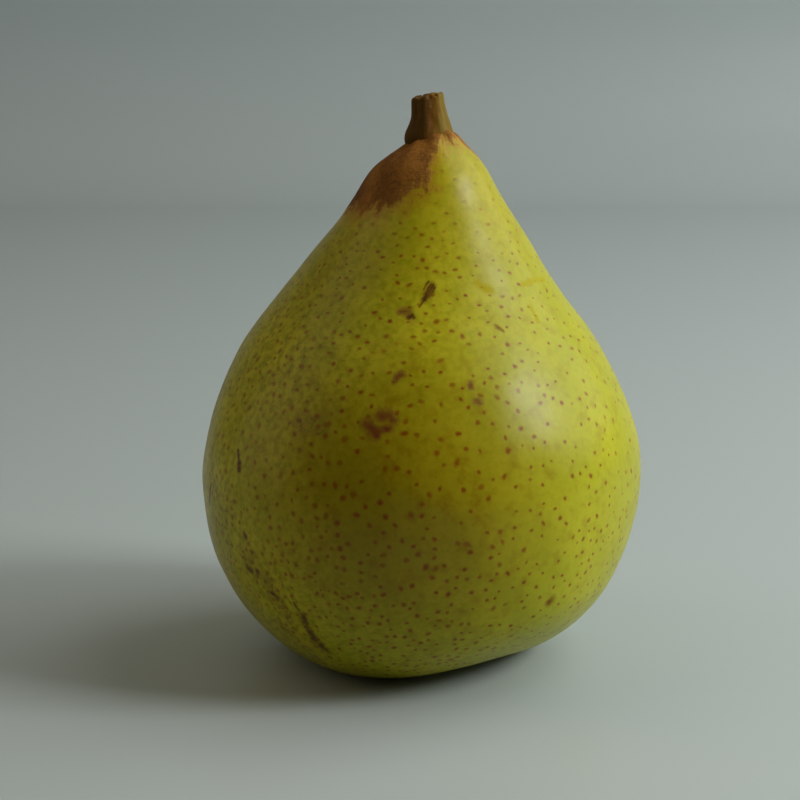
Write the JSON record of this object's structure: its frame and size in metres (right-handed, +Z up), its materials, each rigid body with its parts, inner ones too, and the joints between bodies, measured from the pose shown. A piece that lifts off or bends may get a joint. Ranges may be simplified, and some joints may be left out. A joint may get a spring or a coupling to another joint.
{
  "type": "pear",
  "caption": "Fresh pear with a broad round body, a short tapering neck, a stout woody stalk and a dried calyx in the basin below. It stands upright on its base.",
  "frame": {"origin": "on the surface that the pear stands on, under the middle of its bounding box", "axes": "+Z up from the base towards the stalk; the stalk's knuckle is on the -X side and the side that the picture shows faces -Y"},
  "size_m": [0.0784, 0.0788, 0.1006],
  "materials": {
    "fruit": "satin waxy skin, yellow-green with red-brown dots and an umber russet cap round the stalk",
    "stalk": "dull dry bark, dark brown to olive tan",
    "calyx": "dull, dry and withered, dark brown"
  },
  "bodies": {
    "root": {"fruit": "fruit", "stalk": "stalk", "calyx": "calyx"}
  },
  "joints": []
}
